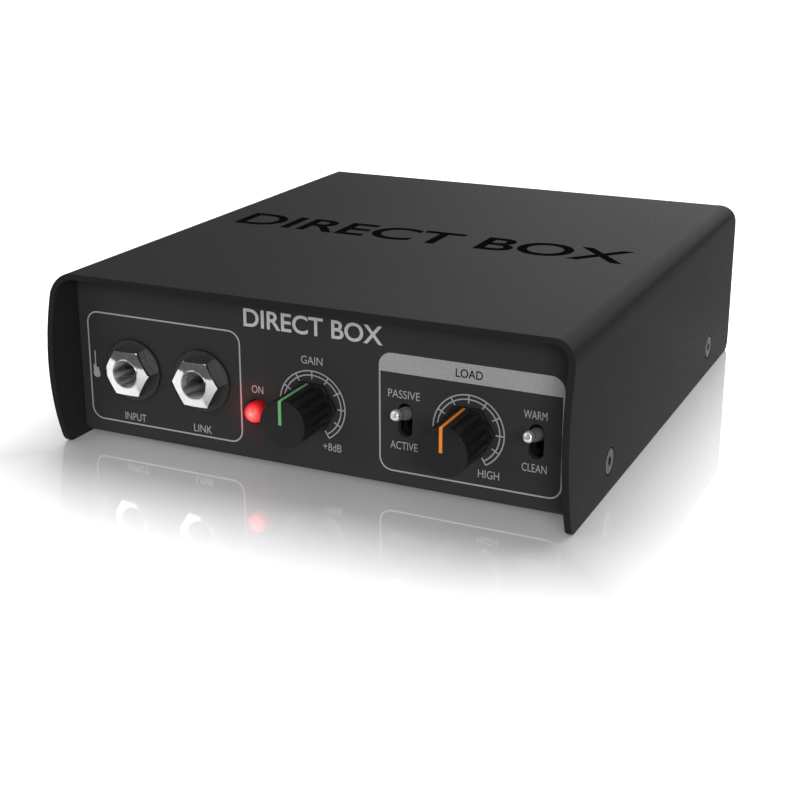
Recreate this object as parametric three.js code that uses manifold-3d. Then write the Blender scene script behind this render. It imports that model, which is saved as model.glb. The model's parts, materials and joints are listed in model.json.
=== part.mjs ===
// A direct injection box for stage and studio: a folded steel tray and cover around one circuit board,
// with two jacks, two rotary controls and two lever switches in front and a balanced output behind.
// Millimetres, +Z up, front towards -Y. The origin is under the middle of the whole object.

import * as THREE from "three";
import { mergeVertices } from "three/addons/utils/BufferGeometryUtils.js";
import Module from "manifold-3d";

const wasm = await Module();
wasm.setup();

// Clearance between pieces that touch or sit in each other, and how far a cutter passes a face.
const GAP = 0.3;
const SEAM = 0.2;
const OVERCUT = 5;

// Casing
const WIDTH = 124.2;
const HEIGHT = 41;
const SHEET = 1.5;
const TOP_DEPTH = 133.2;
const TOP_BEND = 5;
const WALL_BULGE = 4;
const WALL_TAIL = 2.8;
const WALL_TAIL_RADIUS = 2.8;
const WALL_TOE = 1.8;
const PANEL_RECESS = 6.1;
const TRAY_LIFT = 0.8;
const TRAY_BEND = 2.2;
const FLANGE_HEIGHT = 12.3;
const FLANGE_RELIEF = 3.5;
const PAD = { diameter: 12, thickness: 0.7, x: 46, front: -44, rear: 48 };

// Controls and connectors, as places across the panels and above the floor
const KNOB_REACH = 7.6;
const JACK_X = [-45.6, -27.3];
const JACK_Z = 18.15;
const CONTROL_Z = 16.5;
const GAIN_X = 0.6;
const TONE_X = 37.1;
const LOAD_SWITCH_X = 22.7;
const VOICE_SWITCH_X = 51.9;
const LAMP_X = -13.1;
const LAMP_Z = 13.2;
const OUTPUT_X = -30;
const OUTPUT_Z = 22.6;
const LIFT_X = 14;
const LIFT_Z = 14;

// Places that follow from the driving sizes
const DEPTH = KNOB_REACH + TOP_DEPTH + WALL_TAIL;
const TOP_FRONT = -DEPTH / 2 + KNOB_REACH;
const TOP_REAR = TOP_FRONT + TOP_DEPTH;
const WALL_REAR = TOP_REAR + WALL_TAIL;
const PANEL_FRONT = TOP_FRONT + PANEL_RECESS;
const PANEL_REAR = TOP_REAR - PANEL_RECESS;
const TRAY_HALF = WIDTH / 2 - SHEET - GAP;
const TRAY_TOP = HEIGHT - SHEET - GAP;

// Jacks for 6.35 mm plugs. The spring is measured forwards from the body's rear and up from the plug's axis.
const PLUG_BORE = 6.5;
const THREAD = 9;
const WASHER = { diameter: 14.5, thickness: 0.6 };
const NUT = { corners: 11.95, front: 3.1, lip: 0.8, rim: 0.8, rimDiameter: 7.2 };
const BUSHING = { flange: 10.8, flangeThickness: 1.3, sleeve: 7.5, end: 14 };
const JACK_BODY = { width: 15.4, length: 27, wall: 2, top: 7.55 };
const SPRING = { width: 3.6, strip: 0.4, level: 5.2, contact: 2.8, tip: 12, crest: 8.5, bend: 4, drop: 1.2 };

// Knobs and their controls. The grooves are evenly spaced from the pointer, which takes the place of one
// and lies a little beside the middle of the knob.
const SHAFT = 6;
const CONTROL = { width: 11, height: 6.2, depth: 7, boss: 8, back: 1.5 };
const KNOB = { grip: 5.35, face: 4.97, collar: 6.2, collarLength: 1, rim: 0.6, foot: 0.4, crown: 3 };
const GROOVE = { count: 15, turn: 4, width: 0.8, depth: 0.45, fromFace: 0.9, fromPanel: 1.6 };
const KNOB_LENGTH = PANEL_RECESS + KNOB_REACH;
const POINTER = { x: -0.4, width: 0.8, depth: 0.5, sunk: 0.1, play: 0.15 };

// Lever switches
const SLOT = { width: 3.3, height: 7.6 };
const LEVER_TILT = 14;
const LEVER_PIVOT = 6.3;
const LEVER = { length: 11.1, tip: 1.3, neck: 1.1, root: 1.45, ball: 1.4 };
const SWITCH = { width: 5.2, front: -1.6, rear: 7.5, top: 6.1, throat: 3.4, throatHeight: 6.8, throatEnd: 2 };

// Power lamp
const LENS = { radius: 2.4, centre: -1.1, base: 5, hole: 2.7 };
const WIRE = { pitch: 2.54, thickness: 0.5, run: 2.5 };

// Balanced output, three pins
const OUTPUT = { barrel: 23.6, socket: 18.8, depth: 20.9 };
const OUTPUT_FLANGE = { width: 26, height: 31, thickness: 1.8, corner: 2.5 };
const OUTPUT_SCREW = { across: 9.5, up: 12, length: 6 };
const INSERT = { recess: 2.2, thickness: 5 };
const PIN = { diameter: 2.4, circle: 3.97, tip: 0.8, inside: 0.4, tail: 1.5, leg: 0.8 };

// Ground lift switch
const LIFT = { travel: 4, knob: 3.4, knobHeight: 3, reach: 2.2, window: 8.6, windowHeight: 3.8 };
const LIFT_BODY = { width: 13, depth: 6, top: 3.3, room: 3, play: 0.4 };

// Circuit board and what holds it
const BOARD = { top: JACK_Z - 7.75, thickness: 1.6, half: 55.6 };
const BOARD_FRONT = PANEL_FRONT + 2;
const BOARD_REAR = PANEL_REAR - 4.6;
const BOARD_POST = 6;
const BOARD_SCREW_HEAD = 2;
const BOARD_SCREWS = [
  ["front_left", -51, -20],
  ["front_right", 51, -20],
  ["rear_left", -51, 50],
  ["rear_right", 51, 50],
];

const CAPACITOR = { radius: 4, height: 12, x: [-6, 8, 22], y: 20 };
const CHIP = { length: 10, width: 6.5, height: 3.5, x: [-14, 12], y: -15 };

// Screws
const SCREW = { thread: 3, head: 5.8, hole: 3.6, driver: 2, driverDepth: 1, sunk: 0.05 };
const SIDE_SCREW_LENGTH = 6;
const SIDE_SCREW_Z = 7.3;
const SIDE_SCREW_Y = { front: TOP_FRONT + 24.3, rear: TOP_FRONT + 112 };

const ROUND = 24;
const FINE = 32;

const STEEL_BLACK = { color: 0x2c2d2f, roughness: 0.62, metalness: 0.1 };
const SCREW_BLACK = { color: 0x1b1b1c, roughness: 0.45, metalness: 0.6 };
const PLASTIC_BLACK = { color: 0x1d1d1e, roughness: 0.5, metalness: 0 };
const RUBBER = { color: 0x151515, roughness: 0.9, metalness: 0 };
const NICKEL = { color: 0xd5d7d8, roughness: 0.15, metalness: 1 };
const GOLD = { color: 0xd9b25a, roughness: 0.25, metalness: 1 };
const GREEN = { color: 0x6fbf78, roughness: 0.5, metalness: 0 };
const ORANGE = { color: 0xf08a18, roughness: 0.5, metalness: 0 };
const LAMP_RED = { color: 0xe8222a, roughness: 0.2, metalness: 0 };
const BOARD_GREEN = { color: 0x1f5a38, roughness: 0.5, metalness: 0 };

// --- Solids -----------------------------------------------------------------------------------------

// A closed geometry as a solid that can be joined and cut.
function solidOf(geometry) {
  const bare = geometry.clone();
  bare.deleteAttribute("normal");
  bare.deleteAttribute("uv");
  const merged = mergeVertices(bare, 1e-4);
  const mesh = new wasm.Mesh({
    numProp: 3,
    vertProperties: merged.attributes.position.array,
    triVerts: new Uint32Array(merged.index.array),
  });
  return new wasm.Manifold(mesh);
}

function geometryOf(solid) {
  const mesh = solid.getMesh();
  const indexed = new THREE.BufferGeometry();
  indexed.setAttribute("position", new THREE.BufferAttribute(mesh.vertProperties, 3));
  indexed.setIndex(new THREE.BufferAttribute(mesh.triVerts, 1));
  const geometry = indexed.toNonIndexed();
  geometry.computeVertexNormals();
  return geometry;
}

function joined(first, ...others) {
  return others.reduce((sum, other) => sum.add(other), first);
}

function cut(solid, ...cutters) {
  return cutters.reduce((left, cutter) => left.subtract(cutter), solid);
}

function piece(name, solid, look) {
  const mesh = new THREE.Mesh(geometryOf(solid), new THREE.MeshStandardMaterial(look));
  mesh.name = name;
  return mesh;
}

function groupOf(pieces, x, y, z) {
  const group = new THREE.Group();
  group.add(...pieces);
  group.position.set(x, y, z);
  return group;
}

// --- Basic shapes -----------------------------------------------------------------------------------

const AXIS_X = new THREE.Vector3(1, 0, 0);
const AXIS_Y = new THREE.Vector3(0, 1, 0);
const AXIS_Z = new THREE.Vector3(0, 0, 1);
const SIDEWAYS = new THREE.Matrix4().makeBasis(AXIS_Y, AXIS_Z, AXIS_X);
const FORWARDS = new THREE.Matrix4().makeBasis(AXIS_X, AXIS_Z, AXIS_Y.clone().negate());

function extruded(shape, depth) {
  return new THREE.ExtrudeGeometry(shape, { depth, bevelEnabled: false, curveSegments: 6 });
}

// A shape drawn in (y, z), from x0 to x1.
function prismX(shape, x0, x1) {
  return solidOf(extruded(shape, x1 - x0).applyMatrix4(SIDEWAYS).translate(x0, 0, 0));
}

// A shape drawn in (x, z), from y0 to y1.
function prismY(shape, y0, y1) {
  return solidOf(extruded(shape, y1 - y0).applyMatrix4(FORWARDS).translate(0, y1, 0));
}

function box(x0, x1, y0, y1, z0, z1) {
  const block = new THREE.BoxGeometry(x1 - x0, y1 - y0, z1 - z0);
  return solidOf(block.translate((x0 + x1) / 2, (y0 + y1) / 2, (z0 + z1) / 2));
}

// A round bar along +Y, or a cone frustum where its two radii differ.
function rodY(radius, y0, y1, x = 0, z = 0, sides = ROUND, radiusAtEnd = radius) {
  const rod = new THREE.CylinderGeometry(radiusAtEnd, radius, y1 - y0, sides);
  return solidOf(rod.translate(x, (y0 + y1) / 2, z));
}

function rodZ(radius, z0, z1, x = 0, y = 0, sides = ROUND) {
  const rod = new THREE.CylinderGeometry(radius, radius, z1 - z0, sides).rotateX(Math.PI / 2);
  return solidOf(rod.translate(x, y, (z0 + z1) / 2));
}

// A turned piece about +Y. The profile is [radius, y] points from the lowest y on the axis to the highest.
function turnedY(profile, sides = ROUND) {
  const points = profile.map(([radius, y]) => new THREE.Vector2(radius, y));
  return solidOf(new THREE.LatheGeometry(points, sides));
}

// A rectangle with its own radius for the bottom and the top corners.
function roundedRectangle(x0, x1, z0, z1, bottomRadius, topRadius = bottomRadius) {
  const shape = new THREE.Shape();
  shape.moveTo(x0 + bottomRadius, z0);
  shape.lineTo(x1 - bottomRadius, z0);
  shape.absarc(x1 - bottomRadius, z0 + bottomRadius, bottomRadius, -Math.PI / 2, 0);
  shape.absarc(x1 - topRadius, z1 - topRadius, topRadius, 0, Math.PI / 2);
  shape.absarc(x0 + topRadius, z1 - topRadius, topRadius, Math.PI / 2, Math.PI);
  shape.absarc(x0 + bottomRadius, z0 + bottomRadius, bottomRadius, Math.PI, 1.5 * Math.PI);
  return shape;
}

function hexagon(cornerRadius) {
  const corners = [0, 1, 2, 3, 4, 5].map((k) => {
    const angle = (k * Math.PI) / 3;
    return new THREE.Vector2(cornerRadius * Math.cos(angle), cornerRadius * Math.sin(angle));
  });
  return new THREE.Shape(corners);
}

// --- Screws -----------------------------------------------------------------------------------------

// A countersunk screw along +Y: its flat head lies at y = 0 and its thread runs to y = length.
function countersunkScrew(length) {
  const cone = (SCREW.head - SCREW.thread) / 2;
  const body = turnedY([
    [0, 0],
    [SCREW.head / 2, 0],
    [SCREW.thread / 2, cone],
    [SCREW.thread / 2, length],
    [0, length],
  ]);
  return cut(body, rodY(SCREW.driver / 2, -OVERCUT, SCREW.driverDepth, 0, 0, 6));
}

// The hole that the screw above sits in, with clearance all round.
function countersink(length) {
  const cone = (SCREW.head - SCREW.thread) / 2;
  return turnedY([
    [0, -OVERCUT],
    [SCREW.head / 2 + SEAM, -OVERCUT],
    [SCREW.head / 2 + SEAM, 0],
    [SCREW.hole / 2, cone],
    [SCREW.hole / 2, length],
    [0, length],
  ]);
}

// --- Casing -----------------------------------------------------------------------------------------

// The side view of the cover: bulging front ends, upright rear ends with rounded corners.
function coverSideView() {
  const bulgeRadius = ((HEIGHT / 2) ** 2 + WALL_BULGE ** 2) / (2 * WALL_BULGE);
  const centre = TOP_FRONT - WALL_BULGE + bulgeRadius;
  const topAngle = Math.PI - Math.asin(HEIGHT / 2 / bulgeRadius);
  const toeAngle = Math.PI + Math.asin((HEIGHT / 2 - WALL_TOE) / bulgeRadius);
  const shape = new THREE.Shape();
  shape.moveTo(TOP_REAR, HEIGHT);
  shape.lineTo(TOP_FRONT, HEIGHT);
  shape.absarc(centre, HEIGHT / 2, bulgeRadius, topAngle, toeAngle);
  shape.quadraticCurveTo(TOP_FRONT, 0, TOP_FRONT + WALL_TOE, 0);
  shape.lineTo(WALL_REAR - WALL_TAIL_RADIUS, 0);
  shape.absarc(WALL_REAR - WALL_TAIL_RADIUS, WALL_TAIL_RADIUS, WALL_TAIL_RADIUS, -Math.PI / 2, 0);
  shape.absarc(TOP_REAR, HEIGHT - WALL_TAIL_RADIUS, WALL_TAIL, 0, Math.PI / 2);
  return shape;
}

// The front view of the cover: an upside-down U of bent sheet.
function coverSection() {
  const half = WIDTH / 2;
  const inside = half - SHEET;
  const bendX = half - TOP_BEND;
  const bendZ = HEIGHT - TOP_BEND;
  const innerBend = TOP_BEND - SHEET;
  const shape = new THREE.Shape();
  shape.moveTo(inside, 0);
  shape.lineTo(half, 0);
  shape.absarc(bendX, bendZ, TOP_BEND, 0, Math.PI / 2);
  shape.absarc(-bendX, bendZ, TOP_BEND, Math.PI / 2, Math.PI);
  shape.lineTo(-half, 0);
  shape.lineTo(-inside, 0);
  shape.absarc(-bendX, bendZ, innerBend, Math.PI, Math.PI / 2, true);
  shape.absarc(bendX, bendZ, innerBend, Math.PI / 2, 0, true);
  return shape;
}

function cover() {
  const length = WALL_REAR + OVERCUT;
  const flatHalf = WIDTH / 2 - TOP_BEND;
  const sheet = prismY(coverSection(), -length, length);
  const shaped = sheet.intersect(prismX(coverSideView(), -WIDTH, WIDTH));
  const beyondTop = [
    box(-flatHalf, flatHalf, -length, TOP_FRONT, HEIGHT - TOP_BEND, HEIGHT + OVERCUT),
    box(-flatHalf, flatHalf, TOP_REAR, length, HEIGHT - TOP_BEND, HEIGHT + OVERCUT),
  ];
  const screwHoles = sideScrewPlaces().map(([, side, y]) => sideways(countersink(OVERCUT), side, y));
  return piece("cover", cut(shaped, ...beyondTop, ...screwHoles), STEEL_BLACK);
}

function sideScrewPlaces() {
  return [
    ["front_left", -1, SIDE_SCREW_Y.front],
    ["front_right", 1, SIDE_SCREW_Y.front],
    ["rear_left", -1, SIDE_SCREW_Y.rear],
    ["rear_right", 1, SIDE_SCREW_Y.rear],
  ];
}

// Turns a solid made along +Y so that it enters a side wall from outside.
function sideways(solid, side, y) {
  return solid.rotate([0, 0, side * 90]).translate([(side * WIDTH) / 2, y, SIDE_SCREW_Z]);
}

function coverScrews() {
  return sideScrewPlaces().map(([place, side, y]) => {
    const screw = countersunkScrew(SIDE_SCREW_LENGTH).translate([0, SCREW.sunk, 0]);
    return piece(`cover_screw_${place}`, sideways(screw, side, y), SCREW_BLACK);
  });
}

// A closed block between the tray's outer or inner faces: inset 0 is outside, inset SHEET is inside.
function trayBlock(inset, top, topRadius) {
  const half = TRAY_HALF - inset;
  const radius = TRAY_BEND - inset;
  const bottom = TRAY_LIFT + inset;
  const front = PANEL_FRONT + inset;
  const rear = PANEL_REAR - inset;
  const frontView = roundedRectangle(-half, half, bottom, top, radius, topRadius);
  const sideView = roundedRectangle(front, rear, bottom, top + OVERCUT, radius);
  return prismY(frontView, front, rear).intersect(prismX(sideView, -WIDTH, WIDTH));
}

function frontPanelHoles() {
  const near = PANEL_FRONT - OVERCUT;
  const far = PANEL_FRONT + OVERCUT;
  const jackHoles = JACK_X.map((x) => rodY(THREAD / 2 + GAP, near, far, x, JACK_Z));
  const bossHoles = [GAIN_X, TONE_X].map((x) => rodY(CONTROL.boss / 2 + GAP, near, far, x, CONTROL_Z));
  const slots = [LOAD_SWITCH_X, VOICE_SWITCH_X].map((x) => {
    const half = SLOT.width / 2;
    const bottom = CONTROL_Z - SLOT.height / 2;
    const outline = roundedRectangle(x - half, x + half, bottom, bottom + SLOT.height, half - 0.01);
    return prismY(outline, near, far);
  });
  return [...jackHoles, ...bossHoles, ...slots, rodY(LENS.hole, near, far, LAMP_X, LAMP_Z)];
}

function outputScrewPlaces() {
  const { across, up } = OUTPUT_SCREW;
  return [
    ["upper", across, up],
    ["lower", -across, -up],
  ];
}

function rearPanelHoles() {
  const near = PANEL_REAR - OVERCUT;
  const far = PANEL_REAR + OVERCUT;
  const screwHoles = outputScrewPlaces().map(([, dx, dz]) => {
    return rodY(SCREW.hole / 2, near, far, OUTPUT_X + dx, OUTPUT_Z + dz);
  });
  const barrelHole = rodY(OUTPUT.barrel / 2 + GAP, near, far, OUTPUT_X, OUTPUT_Z, FINE);
  const half = LIFT.window / 2;
  const halfHeight = LIFT.windowHeight / 2;
  const liftSlot = box(LIFT_X - half, LIFT_X + half, near, far, LIFT_Z - halfHeight, LIFT_Z + halfHeight);
  return [barrelHole, ...screwHoles, liftSlot];
}

// Everything beside the tray's middle, from a height up, on one side of the tray.
function besideMiddle(side, y0, y1, low) {
  const near = side * (TRAY_HALF - SHEET - 1);
  const far = side * (TRAY_HALF + OVERCUT);
  return box(Math.min(near, far), Math.max(near, far), y0, y1, low, HEIGHT + OVERCUT);
}

function tray() {
  const outside = trayBlock(0, TRAY_TOP, TOP_BEND - SHEET - GAP);
  const inside = trayBlock(SHEET, TRAY_TOP + OVERCUT, SHEET);
  const front = PANEL_FRONT + SHEET;
  const rear = PANEL_REAR - SHEET;
  const reliefBottom = TRAY_LIFT + TRAY_BEND + 1;
  const windows = [-1, 1].flatMap((side) => [
    besideMiddle(side, front, rear, FLANGE_HEIGHT),
    besideMiddle(side, front, front + FLANGE_RELIEF, reliefBottom),
    besideMiddle(side, rear - FLANGE_RELIEF, rear, reliefBottom),
  ]);
  const threads = sideScrewPlaces().map(([, side, y]) => {
    return sideways(rodY(SCREW.hole / 2, -OVERCUT, 2 * OVERCUT), side, y);
  });
  const holes = [...threads, ...frontPanelHoles(), ...rearPanelHoles()];
  return piece("tray", cut(outside, inside, ...windows, ...holes), STEEL_BLACK);
}

function footPads() {
  const places = [
    ["front_left", -PAD.x, PAD.front],
    ["front_right", PAD.x, PAD.front],
    ["rear_left", -PAD.x, PAD.rear],
    ["rear_right", PAD.x, PAD.rear],
  ];
  return places.map(([place, x, y]) => {
    return piece(`foot_pad_${place}`, rodZ(PAD.diameter / 2, 0, PAD.thickness, x, y), RUBBER);
  });
}

// --- Jacks ------------------------------------------------------------------------------------------
// Built about the plug's axis, with y = 0 at the front of the panel.

const JACK_FRONT = SHEET + SEAM;
const JACK_REAR = JACK_FRONT + JACK_BODY.length;

// A box open at the top, with a notch in its rear wall for the spring.
function jackBody() {
  const { width, wall, top } = JACK_BODY;
  const half = width / 2;
  const bottom = BOARD.top + SEAM - JACK_Z;
  const block = box(-half, half, JACK_FRONT, JACK_REAR, bottom, top);
  const open = top + OVERCUT;
  const room = box(-half + wall, half - wall, JACK_FRONT + wall, JACK_REAR - wall, bottom + wall, open);
  const notch = SPRING.width / 2 + GAP;
  const springSlot = box(-notch, notch, JACK_REAR - wall - 1, JACK_REAR + OVERCUT, SPRING.level - 1, open);
  return cut(block, room, rodY(THREAD / 2 + GAP, 0, JACK_FRONT + wall + 1), springSlot);
}

// The threaded tube through the panel, its flange behind the body's front wall and its inner sleeve.
function jackBushing() {
  const front = -NUT.front + NUT.lip + SEAM;
  const inside = JACK_FRONT + JACK_BODY.wall + SEAM;
  const flangeRear = inside + BUSHING.flangeThickness;
  const barrel = rodY(THREAD / 2, front, flangeRear);
  const flange = rodY(BUSHING.flange / 2, inside, flangeRear);
  const sleeve = rodY(BUSHING.sleeve / 2, inside, BUSHING.end);
  const bore = rodY(PLUG_BORE / 2, front - OVERCUT, BUSHING.end + OVERCUT, 0, 0, FINE);
  return cut(joined(barrel, flange, sleeve), bore);
}

function jackWasher() {
  const rear = -SEAM / 2;
  const disc = rodY(WASHER.diameter / 2, rear - WASHER.thickness, rear, 0, 0, FINE);
  return cut(disc, rodY(THREAD / 2 + GAP, -OVERCUT, OVERCUT));
}

// The nut is closed in front but for the plug's way in, which has a raised rim.
function jackNut() {
  const rear = -WASHER.thickness - SEAM;
  const hex = prismY(hexagon(NUT.corners / 2), -NUT.front, rear);
  const rim = rodY(NUT.rimDiameter / 2, -NUT.front - NUT.rim, rear, 0, 0, FINE);
  const thread = rodY(THREAD / 2 + GAP, -NUT.front + NUT.lip, rear + OVERCUT);
  return cut(joined(hex, rim), thread, rodY(PLUG_BORE / 2, -NUT.front - OVERCUT, rear, 0, 0, FINE));
}

// The strip that touches the plug's tip, folded down behind the body to the board.
function tipSpring() {
  const { width, strip, level, contact, tip, crest, bend, drop } = SPRING;
  const foot = BOARD.top + SEAM - JACK_Z;
  const outline = new THREE.Shape();
  outline.moveTo(JACK_REAR - tip, level);
  outline.lineTo(JACK_REAR - crest, contact);
  outline.lineTo(JACK_REAR - bend, level);
  outline.lineTo(JACK_REAR + drop, level);
  outline.lineTo(JACK_REAR + drop, foot);
  outline.lineTo(JACK_REAR + drop + strip, foot);
  outline.lineTo(JACK_REAR + drop + strip, level + strip);
  outline.lineTo(JACK_REAR - bend, level + strip);
  outline.lineTo(JACK_REAR - crest, contact + strip);
  outline.lineTo(JACK_REAR - tip, level + strip);
  return prismX(outline, -width / 2, width / 2);
}

function jack(name, x) {
  const pieces = [
    piece(`${name}_jack_body`, jackBody(), PLASTIC_BLACK),
    piece(`${name}_jack_bushing`, jackBushing(), NICKEL),
    piece(`${name}_jack_washer`, jackWasher(), PLASTIC_BLACK),
    piece(`${name}_jack_nut`, jackNut(), NICKEL),
    piece(`${name}_jack_spring`, tipSpring(), GOLD),
  ];
  return groupOf(pieces, x, PANEL_FRONT, JACK_Z);
}

// --- Rotary controls --------------------------------------------------------------------------------
// Built about the shaft's axis, with y = 0 at the front of the panel.

const CONTROL_REAR = SHEET + SEAM + CONTROL.depth;
const SHAFT_FRONT = -KNOB_LENGTH + KNOB.crown;

function controlBody() {
  const half = CONTROL.width / 2;
  const bottom = BOARD.top + SEAM - CONTROL_Z;
  const block = box(-half, half, SHEET + SEAM, CONTROL_REAR, bottom, CONTROL.height);
  const boss = rodY(CONTROL.boss / 2, -SEAM, SHEET + 1);
  const bore = rodY(SHAFT / 2 + GAP, -OVERCUT, CONTROL_REAR - CONTROL.back);
  return cut(joined(block, boss), bore);
}

function controlShaft() {
  return rodY(SHAFT / 2, SHAFT_FRONT, CONTROL_REAR - CONTROL.back - GAP);
}

function gripGrooves() {
  const { count, turn, width, depth, fromFace, fromPanel } = GROOVE;
  const floor = KNOB.grip - depth;
  const grooves = [];
  for (let step = 1; step < count; step += 1) {
    const groove = box(-width / 2, width / 2, -KNOB_LENGTH + fromFace, -fromPanel, floor, KNOB.grip + 1);
    grooves.push(groove.rotate([0, (step * 360) / count - turn, 0]));
  }
  return grooves;
}

function knob() {
  const body = turnedY(
    [
      [0, -KNOB_LENGTH],
      [KNOB.face, -KNOB_LENGTH],
      [KNOB.grip, -KNOB_LENGTH + KNOB.rim],
      [KNOB.grip, -KNOB.foot],
      [0, -KNOB.foot],
    ],
    36,
  );
  const collar = prismY(hexagon(KNOB.collar), -KNOB.foot - KNOB.collarLength, -KNOB.foot);
  const shaftHole = rodY(SHAFT / 2 + SEAM, SHAFT_FRONT - SEAM, OVERCUT);
  return cut(joined(body, collar), shaftHole, pointerRoom(), ...gripGrooves());
}

// The side view of the pointer: up the face from its middle, over the rim and back along the grip.
// With play it is the room that the pointer lies in, which is open outwards.
function pointerSideView(play) {
  const outwards = play * OVERCUT;
  const depth = POINTER.depth + play;
  const surface = KNOB.grip - POINTER.sunk;
  const rear = -KNOB.foot - KNOB.collarLength - SEAM + play;
  const shape = new THREE.Shape();
  shape.moveTo(-KNOB_LENGTH - outwards, -play);
  shape.lineTo(-KNOB_LENGTH + depth, -play);
  shape.lineTo(-KNOB_LENGTH + depth, surface - depth);
  shape.lineTo(rear, surface - depth);
  shape.lineTo(rear, surface + outwards);
  shape.lineTo(-KNOB_LENGTH + KNOB.rim - outwards, surface + outwards);
  shape.lineTo(-KNOB_LENGTH - outwards, KNOB.face - POINTER.sunk);
  return shape;
}

function pointerRoom() {
  const half = POINTER.width / 2 + POINTER.play;
  return prismX(pointerSideView(POINTER.play), POINTER.x - half, POINTER.x + half);
}

function pointer() {
  const half = POINTER.width / 2;
  return prismX(pointerSideView(0), POINTER.x - half, POINTER.x + half);
}

function rotaryControl(name, x, pointerLook) {
  const pieces = [
    piece(`${name}_control_body`, controlBody(), PLASTIC_BLACK),
    piece(`${name}_control_shaft`, controlShaft(), NICKEL),
    piece(`${name}_knob`, knob(), PLASTIC_BLACK),
    piece(`${name}_pointer`, pointer(), pointerLook),
  ];
  return groupOf(pieces, x, PANEL_FRONT, CONTROL_Z);
}

// --- Lever switches ---------------------------------------------------------------------------------
// Built about the lever's pivot. The lever is up at rest.

function switchBody() {
  const { width, front, rear, top, throat, throatHeight, throatEnd } = SWITCH;
  const bottom = BOARD.top + SEAM - CONTROL_Z;
  const block = box(-width / 2, width / 2, front, rear, bottom, top);
  const room = box(-throat / 2, throat / 2, -OVERCUT, throatEnd, -throatHeight / 2, throatHeight / 2);
  return cut(block, room);
}

// A quarter round from the axis out, whose lowest point is at y = centre - radius.
function quarterRound(radius, centre, steps) {
  const points = [];
  for (let step = 0; step <= steps; step += 1) {
    const angle = ((step / steps) * Math.PI) / 2;
    points.push([radius * Math.sin(angle), centre - radius * Math.cos(angle)]);
  }
  return points;
}

function switchLever() {
  const { length, tip, neck, root, ball } = LEVER;
  const bat = turnedY(
    [
      ...quarterRound(tip, -length, 4),
      [tip, -length + 0.5],
      [neck, -length + 1.7],
      [root, -LEVER_PIVOT],
      [ball, -ball / 2],
      [ball, ball / 2],
      [0, ball],
    ],
    16,
  );
  return bat.rotate([-LEVER_TILT, 0, 0]);
}

function leverSwitch(name, x) {
  const pieces = [
    piece(`${name}_switch_body`, switchBody(), PLASTIC_BLACK),
    piece(`${name}_switch_lever`, switchLever(), NICKEL),
  ];
  return groupOf(pieces, x, PANEL_FRONT + LEVER_PIVOT, CONTROL_Z);
}

// --- Power lamp -------------------------------------------------------------------------------------

// The lens, with its two wires bent down to the board.
function powerLamp() {
  const { radius, centre, base } = LENS;
  const half = WIRE.thickness / 2;
  const end = base + WIRE.run;
  const lens = turnedY([...quarterRound(radius, centre, 5), [radius, base], [0, base]]);
  const wires = [-WIRE.pitch / 2, WIRE.pitch / 2].flatMap((x) => [
    box(x - half, x + half, base - 1, end, -half, half),
    box(x - half, x + half, end - WIRE.thickness, end, BOARD.top + SEAM - LAMP_Z, half),
  ]);
  return groupOf([piece("power_lamp", joined(lens, ...wires), LAMP_RED)], LAMP_X, PANEL_FRONT, LAMP_Z);
}

// --- Balanced output --------------------------------------------------------------------------------
// Built about the connector's axis, with y = 0 at the outside of the rear panel.

function outputShell() {
  const { barrel, socket, depth } = OUTPUT;
  const { width, height, thickness, corner } = OUTPUT_FLANGE;
  const outline = roundedRectangle(-width / 2, width / 2, -height / 2, height / 2, corner);
  const plate = prismY(outline, SEAM, SEAM + thickness);
  const tube = rodY(barrel / 2, -depth + SEAM + thickness, SEAM + thickness / 2, 0, 0, FINE);
  const screwHoles = outputScrewPlaces().map(([, dx, dz]) => {
    return outputScrewPlace(countersink(OVERCUT), dx, dz);
  });
  const way = rodY(socket / 2, -depth - OVERCUT, OVERCUT, 0, 0, FINE);
  return cut(joined(plate, tube), way, ...screwHoles);
}

// Turns a solid made along +Y so that it enters the flange from behind the object.
function outputScrewPlace(solid, dx, dz) {
  return solid.rotate([0, 0, 180]).translate([dx, SEAM + OUTPUT_FLANGE.thickness, dz]);
}

function pinPlaces() {
  return [180, 0, 270].map((degrees) => {
    const angle = THREE.MathUtils.degToRad(degrees);
    return [PIN.circle * Math.cos(angle), PIN.circle * Math.sin(angle)];
  });
}

function outputInsert() {
  const rear = -OUTPUT.depth + INSERT.recess;
  const front = rear + INSERT.thickness;
  const disc = rodY(OUTPUT.socket / 2 - GAP, rear, front, 0, 0, FINE);
  const holes = pinPlaces().map(([dx, dz]) => {
    return rodY(PIN.diameter / 2 + GAP, rear - OVERCUT, front + OVERCUT, dx, dz, 12);
  });
  return cut(disc, ...holes);
}

// Each pin has a leg down to the board at its inner end.
function outputPins() {
  const radius = PIN.diameter / 2;
  const tail = -OUTPUT.depth - PIN.tail;
  const shoulder = -PIN.inside - PIN.tip;
  const legFront = tail + SEAM;
  const foot = BOARD.top + SEAM - OUTPUT_Z;
  return pinPlaces().map(([dx, dz], index) => {
    const rod = rodY(radius, tail, shoulder, dx, dz, 16);
    const tip = rodY(radius, shoulder, -PIN.inside, dx, dz, 16, radius / 2);
    const half = PIN.leg / 2;
    const leg = box(dx - half, dx + half, legFront, legFront + PIN.leg, foot, dz);
    return piece(`output_pin_${index + 1}`, joined(rod, tip, leg), NICKEL);
  });
}

function outputScrews() {
  return outputScrewPlaces().map(([place, dx, dz]) => {
    const screw = countersunkScrew(OUTPUT_SCREW.length).translate([0, SCREW.sunk, 0]);
    return piece(`output_screw_${place}`, outputScrewPlace(screw, dx, dz), SCREW_BLACK);
  });
}

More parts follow.
